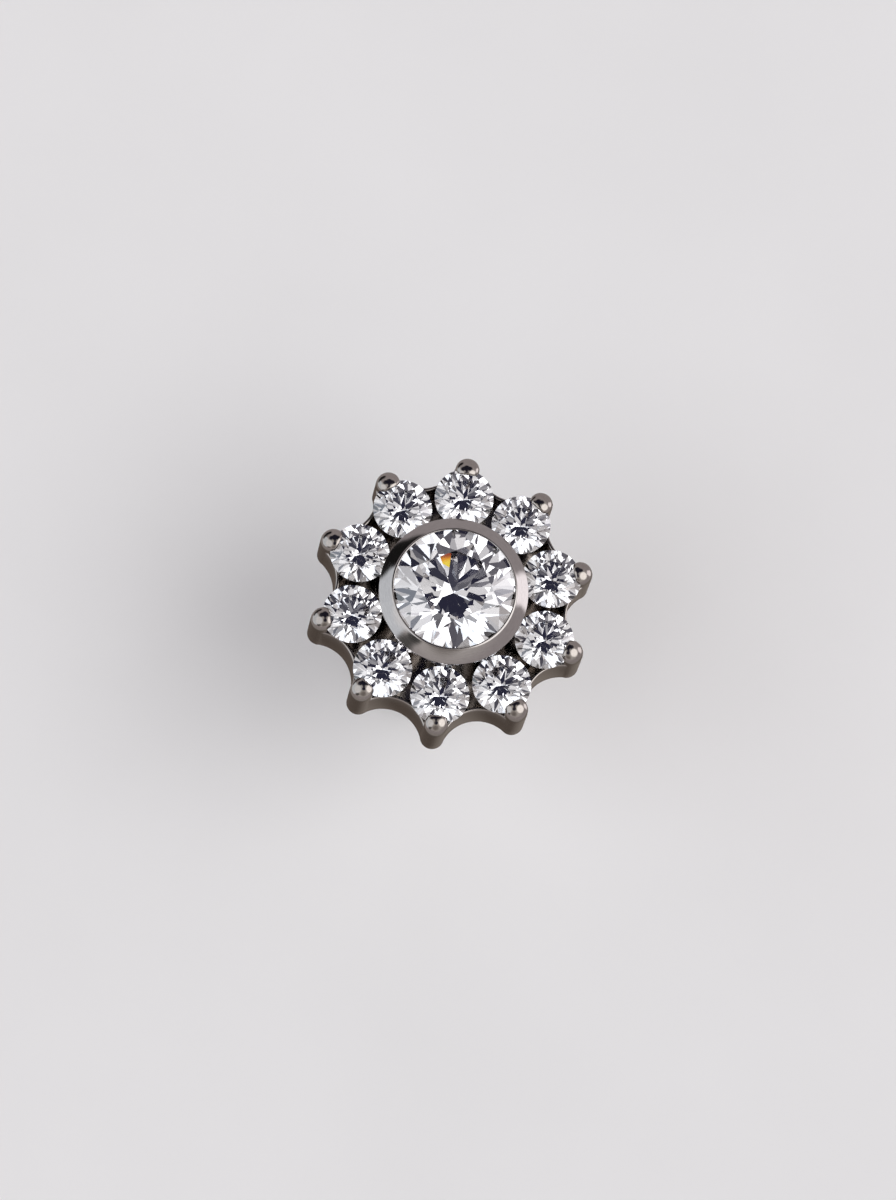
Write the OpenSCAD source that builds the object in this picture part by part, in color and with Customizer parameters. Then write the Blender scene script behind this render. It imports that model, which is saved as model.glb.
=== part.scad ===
// Flower cluster ear stud: a round stone in a sloped bezel, a ring of ten small round stones,
// each held by one outer prong, and a plain post with a flat back disc.
// Millimetres, +Z up. The origin is the middle of the back disc's lower face, on which it stands.

/* [Stones] */
// Diameter of the centre stone
centre_stone_d = 3.12; // [3.04:0.01:3.14]
// Diameter of each small stone
small_stone_d = 1.48; // [1.42:0.01:1.48]
// Table of a stone, corner to corner, as a share of its diameter
table_share = 0.57; // [0.53:0.01:0.62]
// Slope of the crown's main facets, degrees
crown_angle = 34.5; // [32:0.5:36]
// Slope of the pavilion's main facets, degrees
pavilion_angle = 41; // [40:0.5:42]
// Gap between a stone and its seat
seat_gap = 0.015; // [0.01:0.005:0.025]

/* [Flower] */
// Radius of the ring on which the small stones sit
ring_r = 2.55; // [2.53:0.01:2.57]
// Outer radius of a small stone's collet at its rim, which hides under the stone
collet_r = 0.67; // [0.65:0.01:0.68]
// Radius of the circle on which the prongs stand
prong_ring_r = 3.3; // [3.28:0.01:3.33]
// Radius of a prong at its foot, which rounds the points of the flower
prong_foot_r = 0.3; // [0.29:0.01:0.32]
// Radius of a prong where its domed tip begins
prong_tip_r = 0.295; // [0.28:0.005:0.3]
// Height of a prong's domed tip
prong_dome_h = 0.25; // [0.2:0.01:0.27]
// Lean of a prong's upper end over its stone, degrees
prong_lean = 8; // [5:0.5:10]
// Radius of the round cut that ends the prongs just inside the edges of their stones
prong_trim_r = 3.1; // [3.06:0.01:3.14]
// Distance from the middle to the bottom of each scallop between two prongs
scallop_r = 2.92; // [2.9:0.01:2.95]
// Thickness of the outer wall
wall_t = 0.1; // [0.08:0.01:0.14]
// Height of the outer wall
wall_h = 1.35; // [1.25:0.05:1.4]
// Thickness of the back plate
plate_t = 0.3; // [0.25:0.05:0.4]
// Height of the small stones' girdles above the back of the flower
small_girdle_h = 1.6; // [1.55:0.05:1.65]

/* [Bezel] */
// Radius of the bezel's upright wall
bezel_r = 1.83; // [1.81:0.01:1.84]
// Outer radius of the lip
lip_outer_r = 1.87; // [1.86:0.01:1.9]
// Inner radius of the lip
lip_inner_r = 1.5; // [1.48:0.01:1.5]
// Height of the lip's upright outer band
lip_band_h = 0.1; // [0.06:0.01:0.14]
// Height at which the lip's sloped face begins, above the small stones' girdles
lip_low_h = 0.57; // [0.52:0.01:0.6]
// Height of the lip's top above the small stones' girdles
lip_top_h = 0.85; // [0.84:0.01:0.9]
// Height of the centre stone's girdle above the small stones' girdles
centre_girdle_h = 0.72; // [0.7:0.01:0.74]

/* [Post] */
// Diameter of the post, 18 gauge
post_d = 1.0; // [0.8:0.1:1.2]
// Length of the post between the back disc and the flower
post_l = 4.8; // [4.8:0.1:8]
// Diameter of the back disc
disc_d = 3.2; // [3:0.1:5]
// Thickness of the back disc
disc_t = 0.5; // [0.5:0.05:0.8]
// Depth to which the post sits in the back plate
post_seat = 0.15; // [0.1:0.01:0.18]

/* [Hidden] */
$fn = 96;

metal_grey = "#8f8983";
stone_white = "#e4e8ef";

small_count = 10;
step_angle = 360 / small_count;
half_step = step_angle / 2;

// Height above the back of the flower at which a prong begins to lean, and the bands of its dome
prong_bend_h = wall_h + 0.1;
dome_steps = 6;

// Heights above the surface on which the stud stands
back_z = disc_t + post_l;
girdle_z = back_z + small_girdle_h;
centre_girdle_z = girdle_z + centre_girdle_h;

// How far a collet's rim lies below the girdle of its stone, and how much the collet narrows downwards
collet_drop = 0.14;
collet_narrowing = 0.22;
collet_top_h = small_girdle_h - collet_drop;

// A girdle's thickness, and how far the lower halves reach towards the culet, as shares
girdle_share = 0.03;
lower_half_share = 0.77;

// Small allowances: a lip edge's break, a disc edge's break and what one solid sinks into another
lip_edge = 0.04;
disc_edge = 0.08;
sink = 0.05;

// The circle that cuts a scallop passes scallop_r and just bites into the feet of two prongs
scallop_bite = 0.004;
foot_reach = scallop_r - prong_foot_r + scallop_bite;
scallop_centre_r = (pow(prong_ring_r, 2) - pow(foot_reach, 2))
  / (2 * (prong_ring_r * cos(half_step) - foot_reach));
scallop_cut_r = scallop_centre_r - scallop_r;

// How far each stone is turned in its seat, degrees, so that no two neighbours match
centre_turn = 34;
small_turn_step = 17;

function around(r, a, z) = [r * cos(a), r * sin(a), z];

// A round brilliant's main corners, each as its distance from the axis and its height from the girdle
half_facet = 22.5;
function girdle_edge(d) = [d / 2, girdle_share * d / 2];
function crown_h(d, r) = girdle_edge(d).y + (d / 2 - r) * tan(crown_angle);
function pavilion_h(d, r) = girdle_edge(d).y + (d / 2 - r) * tan(pavilion_angle);
function table_corner(d) = [table_share * d / 2, crown_h(d, table_share * d / 2)];
function star_tip(d) =
  let (r = (table_corner(d).x * cos(half_facet) + d / 2) / 2)
  [r, crown_h(d, r * cos(half_facet))];
function lower_tip(d) =
  let (r = (1 - lower_half_share) * d / 2)
  [r, pavilion_h(d, r * cos(half_facet))];

// Round brilliant about its girdle: table, 8 stars, 8 kites, 16 upper halves, girdle,
// 16 lower halves and 8 mains down to a point
module brilliant(d) {
  table = table_corner(d);
  tip = star_tip(d);
  edge = girdle_edge(d);
  low_tip = lower_tip(d);
  star = 8;
  top = 16;
  bottom = 32;
  lower = 48;
  culet = 56;
  points = concat(
    [for (k = [0:7]) around(table.x, 45 * k, table.y)],
    [for (k = [0:7]) around(tip.x, 45 * k + half_facet, tip.y)],
    [for (k = [0:15]) around(edge.x, half_facet * k, edge.y)],
    [for (k = [0:15]) around(edge.x, half_facet * k, -edge.y)],
    [for (k = [0:7]) around(low_tip.x, 45 * k + half_facet, -low_tip.y)],
    [[0, 0, -pavilion_h(d, 0)]]
  );
  faces = concat(
    [[for (k = [7:-1:0]) k]],
    [for (k = [0:7]) [k, (k + 1) % 8, star + k]],
    [for (k = [0:7]) [k, star + k, top + 2 * k, star + (k + 7) % 8]],
    [for (k = [0:7]) [top + 2 * k, star + k, top + 2 * k + 1]],
    [for (k = [0:7]) [top + 2 * k + 1, star + k, top + (2 * k + 2) % 16]],
    [for (k = [0:15]) [bottom + k, top + k, top + (k + 1) % 16, bottom + (k + 1) % 16]],
    [for (k = [0:7]) [bottom + 2 * k, bottom + 2 * k + 1, lower + k]],
    [for (k = [0:7]) [bottom + 2 * k + 1, bottom + (2 * k + 2) % 16, lower + k]],
    [for (k = [0:7]) [culet, lower + (k + 7) % 8, bottom + 2 * k, lower + k]]
  );
  polyhedron(points, faces);
}

// The space a stone takes in the metal: its corners swept round, each moved out by the seat's gap
module seat(d) {
  low_tip = lower_tip(d) + [seat_gap, seat_gap];
  edge = girdle_edge(d) + [seat_gap, seat_gap];
  tip = star_tip(d) + [seat_gap, seat_gap];
  table = table_corner(d) + [seat_gap, seat_gap];
  rotate_extrude()
    polygon([
      [0, -pavilion_h(d, 0) - 2 * seat_gap],
      [low_tip.x, -low_tip.y],
      [edge.x, -edge.y],
      edge,
      tip,
      table,
      [0, table.y],
    ]);
}

// Puts its children at each place of the ring, with the first on +X
module around_ring(r) {
  for (k = [0:small_count - 1])
    rotate(k * step_angle) translate([r, 0]) children();
}

// Outline of the flower with scallops, drawn in by a wall's thickness for the inside
module flower_outline(inset) {
  difference() {
    circle(prong_ring_r + prong_foot_r / 2 - inset);
    rotate(half_step) around_ring(scallop_centre_r) circle(scallop_cut_r + inset);
  }
}

module flower_shell() {
  difference() {
    linear_extrude(wall_h) flower_outline(0);
    translate([0, 0, plate_t]) linear_extrude(wall_h) flower_outline(wall_t);
  }
}

// Collets that narrow downwards, each under one small stone
module collets() {
  around_ring(ring_r)
    translate([0, 0, plate_t - sink])
      cylinder(r1 = collet_r - collet_narrowing, r2 = collet_r, h = collet_top_h - plate_t + sink);
}

// Section of a prong's upper end: straight from the bend, then a low dome
module prong_end() {
  start = small_girdle_h - prong_bend_h;
  step = 90 / dome_steps;
  polygon(concat(
    [[0, -sink], [prong_tip_r, -sink]],
    [for (n = [0:dome_steps - 1])
      [prong_tip_r * cos(n * step), start + prong_dome_h * sin(n * step)]],
    [[0, start + prong_dome_h]]
  ));
}

// Upright prongs whose upper ends lean in, so that each dome reaches over the edge of its stone.
// Above the girdles their inner sides are cut off upright.
module prongs() {
  difference() {
    around_ring(prong_ring_r) {
      cylinder(r = prong_foot_r, h = prong_bend_h);
      translate([0, 0, prong_bend_h]) rotate([0, -prong_lean, 0]) rotate_extrude() prong_end();
    }
    translate([0, 0, small_girdle_h]) cylinder(r = prong_trim_r, h = 2 * prong_dome_h);
  }
}

// Upright wall with a lip: an upright band, a face that slopes in over the centre stone's edge
// and a narrow flat top
module bezel() {
  low = small_girdle_h + lip_low_h;
  high = small_girdle_h + lip_top_h;
  rotate_extrude()
    polygon([
      [0, plate_t - sink],
      [bezel_r, plate_t - sink],
      [bezel_r, low - lip_band_h - lip_edge],
      [lip_outer_r, low - lip_band_h],
      [lip_outer_r, low],
      [lip_inner_r + 2 * lip_edge, high - lip_edge / 2],
      [lip_inner_r + lip_edge, high],
      [0, high],
    ]);
}

module setting() {
  color(metal_grey)
    difference() {
      translate([0, 0, back_z]) {
        flower_shell();
        collets();
        prongs();
        bezel();
      }
      around_ring(ring_r) translate([0, 0, girdle_z]) seat(small_stone_d);
      translate([0, 0, centre_girdle_z]) seat(centre_stone_d);
      translate([0, 0, centre_girdle_z]) cylinder(r = lip_inner_r, h = lip_top_h);
      translate([0, 0, back_z - sink]) cylinder(d = post_d + 2 * seat_gap, h = post_seat + sink);
    }
}

module post() {
  r = post_d / 2;
  disc_r = disc_d / 2;
  top = back_z + post_seat - seat_gap;
  color(metal_grey)
    rotate_extrude()
      polygon([
        [0, 0],
        [disc_r - disc_edge, 0],
        [disc_r, disc_edge],
        [disc_r, disc_t - disc_edge],
        [disc_r - disc_edge, disc_t],
        [r, disc_t],
        [r, top],
        [0, top],
      ]);
}

module centre_stone() {
  color(stone_white) translate([0, 0, centre_girdle_z]) rotate(centre_turn) brilliant(centre_stone_d);
}

// One small stone, counted from 1 on +X towards +Y
module small_stone(number) {
  place = number - 1;
  color(stone_white)
    rotate(place * step_angle)
      translate([ring_r, 0, girdle_z])
        rotate(place * small_turn_step)
          brilliant(small_stone_d);
}

setting();
post();
centre_stone();
small_stone(1);  // stone_01
small_stone(2);  // stone_02
small_stone(3);  // stone_03
small_stone(4);  // stone_04
small_stone(5);  // stone_05
small_stone(6);  // stone_06
small_stone(7);  // stone_07
small_stone(8);  // stone_08
small_stone(9);  // stone_09
small_stone(10);  // stone_10
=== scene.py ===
"""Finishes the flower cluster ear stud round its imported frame: metal, stones, studio and camera.

Sizes are in millimetres, as in the part's own source, and become metres where a mesh is made.
"""
from math import acos, cos, pi, radians, sin, tan

import bmesh
import bpy
from mathutils import Matrix, Vector


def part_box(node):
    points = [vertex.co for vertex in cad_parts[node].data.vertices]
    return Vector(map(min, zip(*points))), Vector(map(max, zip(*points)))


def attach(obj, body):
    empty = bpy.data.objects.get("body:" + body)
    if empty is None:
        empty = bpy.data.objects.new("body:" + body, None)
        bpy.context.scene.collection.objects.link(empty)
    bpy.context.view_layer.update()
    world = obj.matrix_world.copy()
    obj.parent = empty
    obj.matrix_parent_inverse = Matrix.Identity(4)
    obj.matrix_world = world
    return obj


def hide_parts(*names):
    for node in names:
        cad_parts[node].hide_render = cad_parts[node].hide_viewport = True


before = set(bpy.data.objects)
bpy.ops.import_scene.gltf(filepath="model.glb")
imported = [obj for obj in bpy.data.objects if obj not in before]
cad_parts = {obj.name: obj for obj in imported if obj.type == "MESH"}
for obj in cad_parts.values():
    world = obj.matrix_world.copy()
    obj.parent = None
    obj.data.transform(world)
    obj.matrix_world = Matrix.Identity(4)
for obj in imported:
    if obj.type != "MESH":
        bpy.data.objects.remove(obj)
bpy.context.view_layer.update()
MM = 0.001

# Stones: shares are of a stone's radius, and the girdle's share is half its height. Each small
# stone is turned a step further in its seat than the one before.
CENTRE_STONE_D = 3.12
SMALL_STONE_D = 1.48
SMALL_COUNT = 10
TABLE_SHARE = 0.57
CROWN_ANGLE = radians(34.5)
PAVILION_ANGLE = radians(41)
GIRDLE_SHARE = 0.03
LOWER_HALF_SHARE = 0.77
CENTRE_TURN = radians(34)
SMALL_TURN_STEP = radians(17)
SEAT_GAP = 0.015
CENTRE_SIDES = 128
SMALL_SIDES = 96
SEAT_SIDES = 128

# Flower: heights are above its back
RING_R = 2.55
COLLET_R = 0.67
COLLET_NARROWING = 0.22
COLLET_EASE = 0.01
COLLET_SIDES = 96
PRONG_RING_R = 3.3
PRONG_FOOT_R = 0.3
PRONG_TOP_H = 1.86
PRONG_TRIM = 0.2
# The claw's tip is an egg, set a little towards its stone. Its skin is found from a point inside it.
DOME_SHIFT = 0.08
DOME_HALF_W = 0.46
DOME_HALF_H = 0.5
CLAW_CORE = (-0.02, 1.3)
CLAW_BLEND = 12
CLAW_STEPS = 32
CLAW_SIDES = 64
# How near to the axis a scallop comes, and how far its arc bites into a prong's foot
SCALLOP_R = 2.92
SCALLOP_BITE = 0.004
WALL_T = 0.1
WALL_H = 1.35
PLATE_T = 0.3
BACK_EASE = 0.06
RIM_EASE = 0.04
PLATE_EASE = 0.03
SMALL_GIRDLE_H = 1.6
COLLET_DROP = 0.14
COLLET_TOP_H = SMALL_GIRDLE_H - COLLET_DROP

# Bezel and its sloped lip
BEZEL_R = 1.83
BEZEL_SIDES = 256
LIP_OUTER_R = 1.87
LIP_INNER_R = 1.5
LIP_BAND_H = 0.1
LIP_BAND_EASE = 0.015
LIP_UNDERCUT_H = 0.04
LIP_UNDERCUT_EASE = 0.02
LIP_TOP_W = 0.06
LIP_TOP_EASE = 0.1
LIP_DOME = 0.005
LIP_DOME_R = 3
LIP_INNER_EASE = 0.045
BEZEL_REACH = LIP_OUTER_R + 0.005
LIP_LOW_H = SMALL_GIRDLE_H + 0.57
LIP_TOP_H = SMALL_GIRDLE_H + 0.85
CENTRE_GIRDLE_H = SMALL_GIRDLE_H + 0.72

# Post
POST_D = 1.0
DISC_D = 3.2
DISC_T = 0.5
POST_SEAT = 0.15
DISC_EASE = 0.09
POST_FOOT_EASE = 0.06
POST_END_EASE = 0.02
POST_SIDES = 128
SOCKET_SIDES = 96

STEP = 2 * pi / SMALL_COUNT
EIGHTH = pi / 4
HALF_FACET = EIGHTH / 2
# How far a solid reaches into the one that it joins, or a cutter past what it cuts
SINK = 0.05
# A point nearer to the axis than this lies on it
ON_AXIS = 1e-6
# The height of the flower's back, as the frame has it
BACK_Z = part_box("setting")[0].z / MM


# Meshes

def polar(radius, angle):
    return Vector((radius * cos(angle), radius * sin(angle)))


def eased(corners, steps=6):
    """The path through (x, y, ease) corners, each rounded to the radius of its ease."""
    path = []
    for n, (x, y, ease) in enumerate(corners):
        corner = Vector((x, y))
        if not ease:
            path.append(corner)
            continue
        back = (Vector(corners[n - 1][:2]) - corner).normalized()
        ahead = (Vector(corners[n + 1][:2]) - corner).normalized()
        half = back.angle(ahead) / 2
        centre = corner + (back + ahead).normalized() * ease / sin(half)
        first = corner + back * ease / tan(half) - centre
        last = corner + ahead * ease / tan(half) - centre
        path += [centre + first.length * first.slerp(last, s / steps) for s in range(steps + 1)]
    return path


def skin(bm, rings):
    """Joins each ring of vertices to the next. A ring of one vertex is a pole."""
    for low, high in zip(rings, rings[1:]):
        count = max(len(low), len(high))
        for n in range(count):
            after = (n + 1) % count
            if len(low) == 1:
                bm.faces.new((low[0], high[after], high[n]))
            elif len(high) == 1:
                bm.faces.new((low[n], low[after], high[0]))
            else:
                bm.faces.new((low[n], low[after], high[after], high[n]))


def mesh_of(bm, name, *materials):
    """The finished bmesh as a mesh in metres, with its faces outwards."""
    bmesh.ops.recalc_face_normals(bm, faces=bm.faces)
    bmesh.ops.scale(bm, vec=(MM, MM, MM), verts=bm.verts)
    mesh = bpy.data.meshes.new(name)
    bm.to_mesh(mesh)
    bm.free()
    for material in materials:
        mesh.materials.append(material)
    return mesh


def level_rings(bm, profile, sides):
    """A ring of vertices round the axis for each point of a profile, or one vertex on the axis."""
    rings = []
    for radius, height in profile:
        angles = [2 * pi * n / sides for n in range(sides)] if radius > ON_AXIS else [0]
        rings.append([bm.verts.new((*polar(radius, a), height)) for a in angles])
    return rings


def turned(name, profile, sides, *materials):
    """A solid of revolution from a profile that starts and ends on the axis."""
    bm = bmesh.new()
    skin(bm, level_rings(bm, profile, sides))
    return mesh_of(bm, name, *materials)


def smooth_by_angle(mesh, limit=radians(30)):
    """Smooth faces that keep a crease wherever two of them meet at more than the limit."""
    bm = bmesh.new()
    bm.from_mesh(mesh)
    for face in bm.faces:
        face.smooth = True
    for e in bm.edges:
        e.smooth = len(e.link_faces) == 2 and e.calc_face_angle() < limit
    bm.to_mesh(mesh)
    bm.free()


def add_object(name, mesh):
    made = bpy.data.objects.new(name, mesh)
    bpy.context.scene.collection.objects.link(made)
    return made


# Materials

def linear(colour):
    """An sRGB hex colour as linear red, green, blue and alpha."""
    shares = [int(colour[n:n + 2], 16) / 255 for n in (1, 3, 5)]
    return [s / 12.92 if s <= 0.04045 else ((s + 0.055) / 1.055) ** 2.4 for s in shares] + [1]


def add(tree, kind, inputs=None, **settings):
    """Adds a node with its settings. Each input takes a value or another node's output."""
    node = tree.nodes.new(kind)
    for name, value in settings.items():
        setattr(node, name, value)
    for key, value in (inputs or {}).items():
        if isinstance(value, bpy.types.NodeSocket):
            tree.links.new(value, node.inputs[key])
        else:
            node.inputs[key].default_value = value
    return node


def new_material(name):
    material = bpy.data.materials.new(name)
    material.use_nodes = True
    material.node_tree.nodes.clear()
    return material, material.node_tree


def finish_material(tree, surface):
    add(tree, "ShaderNodeOutputMaterial", {"Surface": surface.outputs[0]})


# A radian round the axis takes this much of the grain's pattern. At the lip it is about a quarter
# of the true length, so the grain is drawn out in streaks there.
STREAK_MM = 0.4
# How much of the metal's tint follows its grain, and not the slow drift of tone
GRAIN_IN_TINT = 0.6
# How wide the slow drifts of tone are in the metal, the stones and the paper
METAL_CLOUD_MM = 0.9
STONE_CLOUD_MM = 0.8
PAPER_CLOUD_MM = 9


def titanium(name, colour, dark, grain_mm, grain_depth_mm, roughness, spread, turned_grain):
    """Titanium: a warm grey metal whose fine grain drags each reflection a little.

    The grain runs round the axis where a lathe or a wheel made it, and has no direction where
    the metal was tumbled. Real grain is a few thousandths of a millimetre. It is drawn five to ten
    times as coarse, so that it shows.
    """
    material, tree = new_material(name)
    place = add(tree, "ShaderNodeTexCoord").outputs["Object"]
    if turned_grain:
        parts = add(tree, "ShaderNodeSeparateXYZ", {0: place})
        angle = add(tree, "ShaderNodeMath", {0: parts.outputs[1], 1: parts.outputs[0]}, operation="ARCTAN2")
        flat = add(tree, "ShaderNodeCombineXYZ", {0: parts.outputs[0], 1: parts.outputs[1]})
        radius = add(tree, "ShaderNodeVectorMath", {0: flat.outputs[0]}, operation="LENGTH")
        drawn = add(tree, "ShaderNodeMath", {0: angle.outputs[0], 1: STREAK_MM * MM}, operation="MULTIPLY")
        place = add(tree, "ShaderNodeCombineXYZ", {
            0: radius.outputs["Value"], 1: parts.outputs[2], 2: drawn.outputs[0]}).outputs[0]
    grain = add(tree, "ShaderNodeTexNoise", {
        "Vector": place, "Scale": 1 / (grain_mm * MM), "Detail": 3.0, "Roughness": 0.6})
    cloud = add(tree, "ShaderNodeTexNoise", {
        "Vector": place, "Scale": 1 / (METAL_CLOUD_MM * MM), "Detail": 4.0})
    streak = add(tree, "ShaderNodeMix", {
        "Factor": GRAIN_IN_TINT, "A": cloud.outputs["Fac"], "B": grain.outputs["Fac"],
    }, data_type="FLOAT")
    tint = add(tree, "ShaderNodeMix", {
        "Factor": streak.outputs["Result"], "A": linear(dark), "B": linear(colour)}, data_type="RGBA")
    rough = add(tree, "ShaderNodeMapRange", {
        "Value": grain.outputs["Fac"], "From Min": 0.3, "From Max": 0.7,
        "To Min": roughness - spread, "To Max": roughness + spread})
    bump = add(tree, "ShaderNodeBump", {
        "Height": grain.outputs["Fac"], "Strength": 1.0, "Distance": grain_depth_mm * MM})
    surface = add(tree, "ShaderNodeBsdfPrincipled", {
        "Base Color": tint.outputs["Result"], "Metallic": 1.0, "Roughness": rough.outputs[0],
        "Normal": bump.outputs[0]})
    finish_material(tree, surface)
    return material


def cubic_zirconia(name, roughness):
    """Colourless cubic zirconia, which bends light more than glass and nearly as much as diamond."""
    material, tree = new_material(name)
    place = add(tree, "ShaderNodeTexCoord").outputs["Object"]
    cloud = add(tree, "ShaderNodeTexNoise", {
        "Vector": place, "Scale": 1 / (STONE_CLOUD_MM * MM), "Detail": 2.0})
    tint = add(tree, "ShaderNodeMix", {
        "Factor": cloud.outputs["Fac"], "A": linear("#f7f8ff"), "B": linear("#fffdfa")}, data_type="RGBA")
    surface = add(tree, "ShaderNodeBsdfPrincipled", {
        "Base Color": tint.outputs["Result"], "Roughness": roughness, "IOR": 2.17,
        "Transmission Weight": 1.0})
    finish_material(tree, surface)
    return material


# Titanium turned and polished on a wheel: bright, with faint streaks round the lip that soften the
# edges of what it mirrors
turned_titanium = titanium(
    "turned_titanium", "#b6b0ab", "#878280", grain_mm=0.03, grain_depth_mm=0.0005,
    roughness=0.1, spread=0.03, turned_grain=True)

# Titanium tumbled in fine media: an even gloss with no direction, so the claws keep small bright
# spots and the walls go softly from light to dark
tumbled_titanium = titanium(
    "tumbled_titanium", "#aca59f", "#827b75", grain_mm=0.05, grain_depth_mm=0.0008,
    roughness=0.13, spread=0.04, turned_grain=False)

# Titanium as a setting burr leaves it: a dull grey that stays quiet under the stones
burr_cut_titanium = titanium(
    "burr_cut_titanium", "#8c8580", "#7d7672", grain_mm=0.03, grain_depth_mm=0.0008,
    roughness=0.3, spread=0.05, turned_grain=True)

# Cubic zirconia polished on a lap: glass-clear facets that break the light into black and white
polished_zirconia = cubic_zirconia("polished_cubic_zirconia", roughness=0.0)

# Cubic zirconia as it is ground round: a frosted pale line along the girdle
bruted_zirconia = cubic_zirconia("bruted_cubic_zirconia", roughness=0.35)


# Stones

def brilliant_heights(diameter):
    """How high the crown's and how deep the pavilion's main facets lie at a radius."""
    radius = diameter / 2
    edge = GIRDLE_SHARE * radius
    return (
        lambda r: edge + (radius - r) * tan(CROWN_ANGLE),
        lambda r: edge + (radius - r) * tan(PAVILION_ANGLE),
    )


def brilliant_radii(diameter):
    """How far from the axis a brilliant's table corners, star tips and lower tips lie."""
    radius = diameter / 2
    table_r = TABLE_SHARE * radius
    return table_r, (table_r * cos(HALF_FACET) + radius) / 2, (1 - LOWER_HALF_SHARE) * radius


def brilliant(diameter, sides):
    """A round brilliant: table, 8 stars, 8 kites and 16 upper halves, a round girdle, then 16 lower
    halves and 8 mains down to a point. Each half facet takes its arc of the girdle's sides."""
    radius = diameter / 2
    edge = GIRDLE_SHARE * radius
    crown, pavilion = brilliant_heights(diameter)
    table_r, star_r, lower_r = brilliant_radii(diameter)
    arc = sides // 16
    bm = bmesh.new()

    def corners(r, turn, height):
        return [bm.verts.new((*polar(r, turn + k * EIGHTH), height)) for k in range(8)]

    def girdle_rim(tips, height):
        """A rim of the girdle, which dips where the half facets that end in the tips meet the round."""
        rim = []
        for n in range(sides):
            sector = n // arc
            first = Vector((*polar(radius, sector * HALF_FACET), height))
            second = Vector((*polar(radius, (sector + 1) * HALF_FACET), height))
            normal = (second - first).cross(tips[sector // 2].co - first)
            spot = polar(radius, n * HALF_FACET / arc)
            rim.append(bm.verts.new((*spot, height - normal.xy.dot(spot - first.xy) / normal.z)))
        return rim

    table = corners(table_r, 0, crown(table_r))
    stars = corners(star_r, HALF_FACET, crown(star_r * cos(HALF_FACET)))
    lowers = corners(lower_r, HALF_FACET, -pavilion(lower_r * cos(HALF_FACET)))
    culet = bm.verts.new((0, 0, -pavilion(0)))
    top = girdle_rim(stars, edge)
    bottom = girdle_rim(lowers, -edge)
    skin(bm, [bottom, top])
    girdle = set(bm.faces)
    bm.faces.new(table)
    for k in range(8):
        after = (k + 1) % 8
        main = 2 * k * arc
        bm.faces.new((table[k], stars[k], table[after]))
        bm.faces.new((table[k], stars[k - 1], top[main], stars[k]))
        bm.faces.new((culet, lowers[k - 1], bottom[main], lowers[k]))
        for first in (main, main + arc):
            stretch = [n % sides for n in range(first, first + arc + 1)]
            bm.faces.new([stars[k]] + [top[n] for n in stretch])
            bm.faces.new([lowers[k]] + [bottom[n] for n in stretch])
    # The girdle is ground round and not polished
    for face in girdle:
        face.material_index = 1
        face.smooth = True
    for e in bm.edges:
        e.smooth = all(face in girdle for face in e.link_faces)
    return bm


def set_stone(node, bm, place):
    """A brilliant in its seat, as a piece that stands for its node."""
    bmesh.ops.transform(bm, matrix=place, verts=bm.verts)
    piece = add_object("brilliant_" + node.replace("stone_", "").replace("_stone", ""),
                       mesh_of(bm, node, polished_zirconia, bruted_zirconia))
    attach(piece, "root")
    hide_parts(node)


def set_stones():
    place = Matrix.Translation((0, 0, BACK_Z + CENTRE_GIRDLE_H)) @ Matrix.Rotation(CENTRE_TURN, 4, "Z")
    set_stone("centre_stone", brilliant(CENTRE_STONE_D, CENTRE_SIDES), place)
    for k in range(SMALL_COUNT):
        place = (
            Matrix.Rotation(k * STEP, 4, "Z")
            @ Matrix.Translation((RING_R, 0, BACK_Z + SMALL_GIRDLE_H))
            @ Matrix.Rotation(k * SMALL_TURN_STEP, 4, "Z")
        )
        set_stone(f"stone_{k + 1:02d}", brilliant(SMALL_STONE_D, SMALL_SIDES), place)


# Setting

# Each scallop is an arc round a centre outside the flower, from one prong's foot to the next
foot_reach = SCALLOP_R - PRONG_FOOT_R + SCALLOP_BITE
scallop_centre_r = (PRONG_RING_R ** 2 - foot_reach ** 2) / (
    2 * (PRONG_RING_R * cos(STEP / 2) - foot_reach))
scallop_cut_r = scallop_centre_r - SCALLOP_R


def flower_outline(inset, scallop_steps=28, point_steps=4):
    """The flower's outline, drawn in by inset: ten scallops with a short arc between each two."""
    outer = PRONG_RING_R + PRONG_FOOT_R / 2 - inset
    cut = scallop_cut_r + inset
    # Where the scallop's circle crosses the outer one, as an angle at its own centre and at the axis
    reach = acos((scallop_centre_r ** 2 + cut ** 2 - outer ** 2) / (2 * scallop_centre_r * cut))
    width = acos((scallop_centre_r ** 2 + outer ** 2 - cut ** 2) / (2 * scallop_centre_r * outer))
    outline = []
    for k in range(SMALL_COUNT):
        middle = (k + 0.5) * STEP
        centre = polar(scallop_centre_r, middle)
        for n in range(scallop_steps + 1):
            outline.append(centre - polar(cut, middle + reach * (1 - 2 * n / scallop_steps)))
        for n in range(1, point_steps):
            outline.append(polar(outer, middle + width + (STEP - 2 * width) * n / point_steps))
    return outline


def flower_shell():
    """Back plate and outer wall in one, with the wall's rim rounded."""
    under_inset = 0.25
    plate_inset = WALL_T + 0.2
    section = eased([
        (under_inset, 0, 0), (0, 0, BACK_EASE), (0, WALL_H, RIM_EASE), (WALL_T, WALL_H, RIM_EASE),
        (WALL_T, PLATE_T, PLATE_EASE), (plate_inset, PLATE_T, 0)])
    bm = bmesh.new()
    rings = [[bm.verts.new((0, 0, 0))]]
    for inset, height in section:
        rings.append([bm.verts.new((*point, height)) for point in flower_outline(inset)])
    rings.append([bm.verts.new((0, 0, PLATE_T))])
    skin(bm, rings)
    return mesh_of(bm, "flower_shell", tumbled_titanium)


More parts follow.
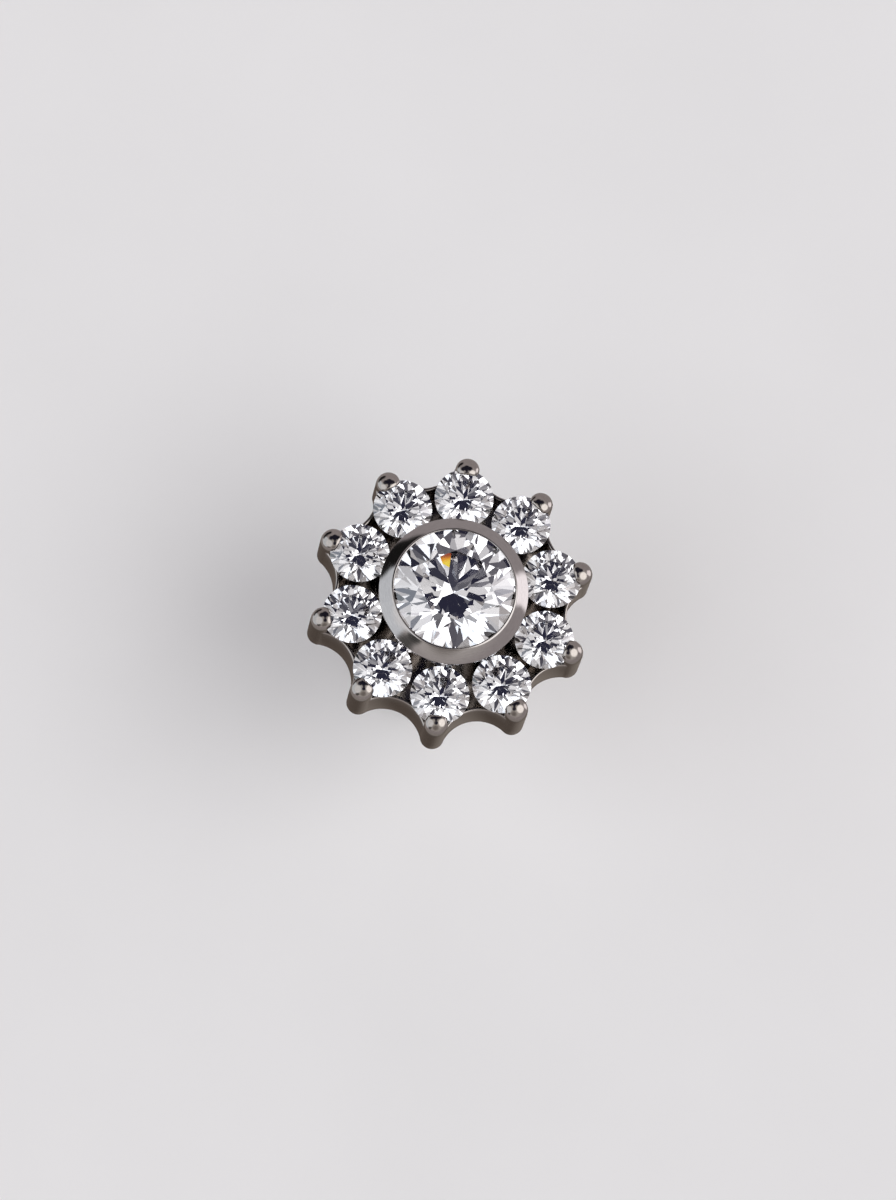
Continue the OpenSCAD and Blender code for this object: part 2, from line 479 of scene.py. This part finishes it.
def bezel_body():
    """Upright wall with a lip: a narrow band, a sloped face that is just domed and a rounded top."""
    foot_h = LIP_LOW_H - LIP_BAND_H
    top_r = LIP_INNER_R + LIP_TOP_W
    profile = eased([
        (0, PLATE_T - SINK, 0), (BEZEL_R, PLATE_T - SINK, 0),
        (BEZEL_R, foot_h - LIP_UNDERCUT_H, LIP_UNDERCUT_EASE),
        (LIP_OUTER_R, foot_h, LIP_BAND_EASE), (LIP_OUTER_R, LIP_LOW_H, LIP_BAND_EASE),
        ((LIP_OUTER_R + top_r) / 2 + LIP_DOME, (LIP_LOW_H + LIP_TOP_H) / 2 + LIP_DOME, LIP_DOME_R),
        (top_r, LIP_TOP_H, LIP_TOP_EASE), (0, LIP_TOP_H, 0)])
    return turned("bezel_body", profile, BEZEL_SIDES, turned_titanium)


def collet():
    """The cone that carries a small stone from below. Its rim hides under the stone."""
    return turned("collet", eased([
        (0, PLATE_T - SINK, 0), (COLLET_R - COLLET_NARROWING, PLATE_T - SINK, 0),
        (COLLET_R, COLLET_TOP_H, COLLET_EASE), (0, COLLET_TOP_H, 0)]), COLLET_SIDES, tumbled_titanium)


def way_out(start, way, radius):
    """How many times its own length a ray goes from inside a circle or ball to its edge."""
    along = start.dot(way)
    room = radius ** 2 - start.length_squared
    return (-along + (along ** 2 + way.length_squared * room) ** 0.5) / way.length_squared


def prong():
    """A round prong with a low dome that looks over its stone, cut off upright at the stone's edge.

    The upper end is the smooth meeting of the upright round, an egg that makes the dome and the
    flat inner cut, found ray by ray from a point inside it.
    """
    def reach(turn, rise):
        """How far the claw's skin lies from its inner point, in one direction."""
        ray = Vector((cos(rise) * cos(turn), cos(rise) * sin(turn), sin(rise)))
        side = Vector((ray.x, ray.y))
        ways = []
        if side.length > ON_AXIS:
            ways.append(way_out(Vector((CLAW_CORE[0], 0)), side, PRONG_FOOT_R))
        if ray.x < 0:
            ways.append((PRONG_TRIM + CLAW_CORE[0]) / -ray.x)
        # With its sizes divided out, the egg is a ball of radius 1
        stretch = Vector((1 / DOME_HALF_W, 1 / DOME_HALF_W, 1 / DOME_HALF_H))
        start = Vector((CLAW_CORE[0] + DOME_SHIFT, 0, CLAW_CORE[1] - PRONG_TOP_H + DOME_HALF_H))
        ways.append(way_out(start * stretch, ray * stretch, 1))
        return sum(w ** -CLAW_BLEND for w in ways) ** (-1 / CLAW_BLEND), ray

    stem_h = 0.5
    bm = bmesh.new()
    foot = eased([(0, 0, 0), (PRONG_FOOT_R, 0, BACK_EASE), (PRONG_FOOT_R, stem_h, 0)])
    rings = level_rings(bm, foot, CLAW_SIDES)
    for k in range(CLAW_STEPS):
        ring = []
        for n in range(CLAW_SIDES):
            turn = 2 * pi * n / CLAW_SIDES
            distance, ray = reach(turn, pi / 2 * k / CLAW_STEPS)
            ring.append(bm.verts.new((CLAW_CORE[0] + distance * ray.x, distance * ray.y,
                                      CLAW_CORE[1] + distance * ray.z)))
        rings.append(ring)
    distance, ray = reach(0, pi / 2)
    rings.append([bm.verts.new((CLAW_CORE[0], 0, CLAW_CORE[1] + distance))])
    skin(bm, rings)
    return mesh_of(bm, "prong", tumbled_titanium)


def seat_cutter(name, diameter):
    """What a stone's seat takes out of the metal, a little wider than the stone."""
    radius = diameter / 2
    edge = GIRDLE_SHARE * radius
    crown, pavilion = brilliant_heights(diameter)
    table_r, star_r, lower_r = brilliant_radii(diameter)
    gap = SEAT_GAP
    return turned(name, [
        (0, -pavilion(0) - 2 * gap),
        (lower_r + gap, -pavilion(lower_r * cos(HALF_FACET)) - gap),
        (radius + gap, -edge - gap),
        (radius + gap, edge + gap),
        (star_r + gap, crown(star_r * cos(HALF_FACET)) + gap),
        (table_r + gap, crown(table_r) + gap),
        (0, crown(table_r) + gap)], SEAT_SIDES, burr_cut_titanium)


def lip_bore():
    """Opens the lip over the centre stone and rounds its inner edge."""
    flare_r = LIP_INNER_R + 2 * LIP_INNER_EASE
    clear_h = LIP_TOP_H + 0.3
    return turned("lip_bore", eased([
        (0, CENTRE_GIRDLE_H, 0), (LIP_INNER_R, CENTRE_GIRDLE_H, 0),
        (LIP_INNER_R, LIP_TOP_H, LIP_INNER_EASE), (flare_r, LIP_TOP_H, 0), (flare_r, clear_h, 0),
        (0, clear_h, 0)]), BEZEL_SIDES, turned_titanium)


def post_socket():
    """Takes out the blind hole in the back plate that seats the post."""
    radius = POST_D / 2 + SEAT_GAP
    return turned("post_socket", [
        (0, -SINK), (radius, -SINK), (radius, POST_SEAT), (0, POST_SEAT)],
        SOCKET_SIDES, burr_cut_titanium)


def setting_nodes():
    """Geometry nodes that unite the metal round the ring and cut every seat."""
    tree = bpy.data.node_groups.new("flower_setting", "GeometryNodeTree")
    sockets = tree.interface
    sockets.new_socket("Shell", in_out="INPUT", socket_type="NodeSocketGeometry")
    for name in ("Bezel", "Collet", "Prong", "Small seat", "Centre seat", "Lip bore", "Socket"):
        sockets.new_socket(name, in_out="INPUT", socket_type="NodeSocketObject")
    for name in (
        "Ring radius", "Prong ring radius", "Small seat height", "Centre seat height", "Bezel reach",
    ):
        sockets.new_socket(name, in_out="INPUT", socket_type="NodeSocketFloat")
    sockets.new_socket("Count", in_out="INPUT", socket_type="NodeSocketInt")
    sockets.new_socket("Bezel finish", in_out="INPUT", socket_type="NodeSocketMaterial")
    sockets.new_socket("Setting", in_out="OUTPUT", socket_type="NodeSocketGeometry")
    given = add(tree, "NodeGroupInput").outputs

    def solid(name):
        return add(tree, "GeometryNodeObjectInfo", {"Object": given[name]}).outputs["Geometry"]

    def ring(solid_output, radius, height):
        """The solid at each place of the ring, turned with it."""
        circle = add(tree, "GeometryNodeMeshCircle", {"Vertices": given["Count"], "Radius": radius})
        lift = add(tree, "ShaderNodeCombineXYZ", {"Z": height})
        points = add(tree, "GeometryNodeTransform", {
            "Geometry": circle.outputs[0], "Translation": lift.outputs[0]})
        index = add(tree, "GeometryNodeInputIndex")
        step = add(tree, "ShaderNodeMath", {0: 2 * pi, 1: given["Count"]}, operation="DIVIDE")
        turn = add(tree, "ShaderNodeMath", {0: index.outputs[0], 1: step.outputs[0]}, operation="MULTIPLY")
        angle = add(tree, "ShaderNodeCombineXYZ", {"Z": turn.outputs[0]})
        return add(tree, "GeometryNodeInstanceOnPoints", {
            "Points": points.outputs[0], "Instance": solid_output, "Rotation": angle.outputs[0],
        }).outputs[0]

    def raised(solid_output, height):
        lift = add(tree, "ShaderNodeCombineXYZ", {"Z": height})
        return add(tree, "GeometryNodeTransform", {
            "Geometry": solid_output, "Translation": lift.outputs[0]}).outputs[0]

    metal = add(tree, "GeometryNodeMeshBoolean", operation="UNION", solver="MANIFOLD")
    for part in (
        given["Shell"], solid("Bezel"), ring(solid("Collet"), given["Ring radius"], 0.0),
        ring(solid("Prong"), given["Prong ring radius"], 0.0),
    ):
        tree.links.new(part, metal.inputs[1])
    cut = add(tree, "GeometryNodeMeshBoolean", {0: metal.outputs[0]},
              operation="DIFFERENCE", solver="MANIFOLD")
    for part in (
        ring(solid("Small seat"), given["Ring radius"], given["Small seat height"]),
        raised(solid("Centre seat"), given["Centre seat height"]), solid("Lip bore"), solid("Socket"),
    ):
        tree.links.new(part, cut.inputs[1])
    placed = add(tree, "GeometryNodeRealizeInstances", {0: cut.outputs[0]})
    # The parts bring their own finish. All that stands within the bezel's reach was turned with it.
    place = add(tree, "GeometryNodeInputPosition")
    across = add(tree, "ShaderNodeVectorMath", {0: place.outputs[0], 1: (1, 1, 0)}, operation="MULTIPLY")
    distance = add(tree, "ShaderNodeVectorMath", {0: across.outputs[0]}, operation="LENGTH")
    within = add(tree, "FunctionNodeCompare", {
        0: distance.outputs["Value"], 1: given["Bezel reach"]}, data_type="FLOAT", operation="LESS_THAN")
    finished = add(tree, "GeometryNodeSetMaterial", {
        "Geometry": placed.outputs[0], "Selection": within.outputs[0], "Material": given["Bezel finish"]})
    add(tree, "NodeGroupOutput", {0: finished.outputs[0]})
    return tree


def make_setting():
    """The whole metal top, made by the nodes and kept as one plain mesh that stands for its node."""
    solids = {
        "Bezel": bezel_body(), "Collet": collet(), "Prong": prong(),
        "Small seat": seat_cutter("small_seat", SMALL_STONE_D),
        "Centre seat": seat_cutter("centre_seat", CENTRE_STONE_D),
        "Lip bore": lip_bore(), "Socket": post_socket(),
    }
    values = {name: add_object(mesh.name, mesh) for name, mesh in solids.items()}
    values |= {
        "Ring radius": RING_R * MM, "Prong ring radius": PRONG_RING_R * MM,
        "Small seat height": SMALL_GIRDLE_H * MM, "Centre seat height": CENTRE_GIRDLE_H * MM,
        "Count": SMALL_COUNT, "Bezel reach": BEZEL_REACH * MM, "Bezel finish": turned_titanium,
    }
    shell = add_object("flower_shell", flower_shell())
    modifier = shell.modifiers.new("flower_setting", "NODES")
    modifier.node_group = setting_nodes()
    for item in modifier.node_group.interface.items_tree:
        if item.in_out == "INPUT" and item.name in values:
            modifier[item.identifier] = values[item.name]
    evaluated = shell.evaluated_get(bpy.context.evaluated_depsgraph_get())
    mesh = bpy.data.meshes.new_from_object(evaluated)
    for helper in [shell] + [v for v in values.values() if isinstance(v, bpy.types.Object)]:
        bpy.data.objects.remove(helper)
    mesh.transform(Matrix.Translation((0, 0, BACK_Z * MM)))
    smooth_by_angle(mesh)
    piece = add_object("flower_setting", mesh)
    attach(piece, "root")
    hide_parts("setting")


def make_post():
    """Post and back disc, turned in one from bar, as a piece that stands for its node."""
    end_h = BACK_Z + POST_SEAT - SEAT_GAP
    mesh = turned("back_post", eased([
        (0, 0, 0), (DISC_D / 2, 0, DISC_EASE), (DISC_D / 2, DISC_T, DISC_EASE),
        (POST_D / 2, DISC_T, POST_FOOT_EASE), (POST_D / 2, end_h, POST_END_EASE), (0, end_h, 0)]),
        POST_SIDES, turned_titanium)
    smooth_by_angle(mesh)
    piece = add_object("back_post", mesh)
    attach(piece, "root")
    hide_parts("post")


# Studio: the camera's turn comes first, because the lamps are placed round its direction

CAMERA_TILT = radians(14)
CAMERA_AZIMUTH = radians(241.35)
CAMERA_ROLL = radians(18)
CAMERA_DISTANCE = 200
CAMERA_LENS = 240
# How far to the right of the picture's middle, and above it, the stud's axis shows
STUD_IN_FRAME = (0.1, 0.0875)
FLOOR_R = 3000
FLOOR_DROP = 0.01
camera_turn = (
    Matrix.Rotation(CAMERA_AZIMUTH + pi / 2, 4, "Z")
    @ Matrix.Rotation(CAMERA_TILT, 4, "X")
    @ Matrix.Rotation(CAMERA_ROLL, 4, "Z")
)


def make_camera():
    """The photo's view: 14 degrees off the stud's axis, with the stud a little right and up."""
    data = bpy.data.cameras.new("camera")
    data.lens = CAMERA_LENS
    data.clip_start = 0.01
    camera = add_object("camera", data)
    camera.matrix_world = (
        Matrix.Translation((0, 0, (BACK_Z + SMALL_GIRDLE_H) * MM)) @ camera_turn
        @ Matrix.Translation((-STUD_IN_FRAME[0] * MM, -STUD_IN_FRAME[1] * MM, CAMERA_DISTANCE * MM))
    )
    bpy.context.scene.camera = camera


ROOM = (0.61, 0.57, 0.6)
BRIGHT_CARD = (2.3, 2.25, 2.4)
BLACK_CARD = (0.02, 0.02, 0.02)
DARK_BLUE = (0.025, 0.025, 0.045)

# Each row is the degrees away from the camera's direction, the degrees round it, radius, blur and
# colour. A later row lies over an earlier one.
LAMPS = (
    # A pale ceiling, and the grey and dark low down that the upright walls mirror
    (0, 0, 60, 14, (0.9, 0.88, 0.88)),
    (166, 252, 56, 14, (0.5, 0.47, 0.46)),
    (166, 252, 23, 10, (0.125, 0.1, 0.085)),
    (155, 329, 20, 12, (0.26, 0.225, 0.2)),
    # What the lip mirrors: white at its right, pale blue at its left, black at its upper left and
    # two small dark cards at its lower left
    (86, 15, 13, 3, BRIGHT_CARD),
    (102, 11, 14, 3, BRIGHT_CARD),
    (78, 176, 34, 3, (1.25, 1.36, 1.5)),
    (89, 118, 12, 3, BLACK_CARD),
    (93, 133, 14, 3, BLACK_CARD),
    (98, 148, 11, 3, BLACK_CARD),
    (52, 221, 8, 3, (0.1, 0.1, 0.1)),
    (66, 219, 8, 4, (0.16, 0.16, 0.16)),
    # What the stones break up: grey under the camera, dark blue over and behind it, and white at
    # both its sides
    (36, 264, 16, 10, (0.38, 0.35, 0.34)),
    (42, 90, 21, 3, DARK_BLUE),
    (46, 58, 15, 3, DARK_BLUE),
    (46, 124, 15, 3, DARK_BLUE),
    (20, 88, 9, 3, DARK_BLUE),
    (42, 183, 24, 3, (1.5, 1.56, 1.66)),
    (42, 0, 25, 3, (2.6, 2.6, 2.65)),
    (0, 0, 12.75, 3, (0.025, 0.025, 0.05)),
    # Three pinpoint warm lights that one facet of the centre stone sends to the camera
    (36.85, 79.4, 0.06, 0.04, (1.05, 0.42, 0.02)),
    (36.76, 79.3, 0.05, 0.05, (0.42, 0.07, 0.02)),
    (36.93, 79.48, 0.07, 0.05, (1.15, 0.88, 0.08)),
)


def make_floor():
    """Pale matt paper, a hair below the disc's face so that the two never fight for one plane."""
    material, tree = new_material("matt_paper")
    place = add(tree, "ShaderNodeTexCoord").outputs["Object"]
    cloud = add(tree, "ShaderNodeTexNoise", {
        "Vector": place, "Scale": 1 / (PAPER_CLOUD_MM * MM), "Detail": 3.0})
    tint = add(tree, "ShaderNodeMix", {
        "Factor": cloud.outputs["Fac"], "A": linear("#e6e4e2"), "B": linear("#efedeb")}, data_type="RGBA")
    surface = add(tree, "ShaderNodeBsdfPrincipled", {
        "Base Color": tint.outputs["Result"], "Roughness": 0.8})
    finish_material(tree, surface)
    bm = bmesh.new()
    bmesh.ops.create_circle(
        bm, cap_ends=True, segments=64, radius=FLOOR_R, matrix=Matrix.Translation((0, 0, -FLOOR_DROP)))
    floor = add_object("floor", mesh_of(bm, "floor", material))
    # The metal and the stones mirror the lamps below them and not the floor
    floor.visible_glossy = False


def make_world():
    """Soft cards of light and dark all round, and a plain backdrop for what the camera sees.

    Round the camera's direction, 0 degrees is the right of the picture and 90 its top.
    """
    world = bpy.data.worlds.new("studio")
    world.use_nodes = True
    tree = world.node_tree
    tree.nodes.clear()
    ray = add(tree, "ShaderNodeTexCoord").outputs["Generated"]

    def share(away, round_it, radius, blur):
        """1 within a radius of a place, 0 outside it, with a soft edge."""
        turn, tilt = radians(round_it), radians(away)
        place = camera_turn @ Vector((sin(tilt) * cos(turn), sin(tilt) * sin(turn), cos(tilt)))
        near = add(tree, "ShaderNodeVectorMath", {0: ray, 1: place}, operation="DOT_PRODUCT")
        return add(tree, "ShaderNodeMapRange", {
            "Value": near.outputs["Value"], "From Min": cos(radians(radius + blur)),
            "From Max": cos(radians(radius - blur))}, interpolation_type="SMOOTHSTEP").outputs[0]

    light = add(tree, "ShaderNodeCombineXYZ", dict(enumerate(ROOM))).outputs[0]
    for away, round_it, radius, blur, colour in LAMPS:
        light = add(tree, "ShaderNodeMix", {
            "Factor": share(away, round_it, radius, blur), "A": light, "B": (*colour, 1),
        }, data_type="RGBA").outputs["Result"]
    lamps = add(tree, "ShaderNodeBackground", {"Color": light})
    backdrop = add(tree, "ShaderNodeBackground", {"Color": linear("#d2d1cf")})
    path = add(tree, "ShaderNodeLightPath")
    seen = add(tree, "ShaderNodeMixShader", {
        0: path.outputs["Is Camera Ray"], 1: lamps.outputs[0], 2: backdrop.outputs[0]})
    add(tree, "ShaderNodeOutputWorld", {0: seen.outputs[0]})
    bpy.context.scene.world = world


# The whole scene

make_camera()
set_stones()
make_setting()
make_post()
make_floor()
make_world()
bpy.context.scene.view_settings.view_transform = "Standard"
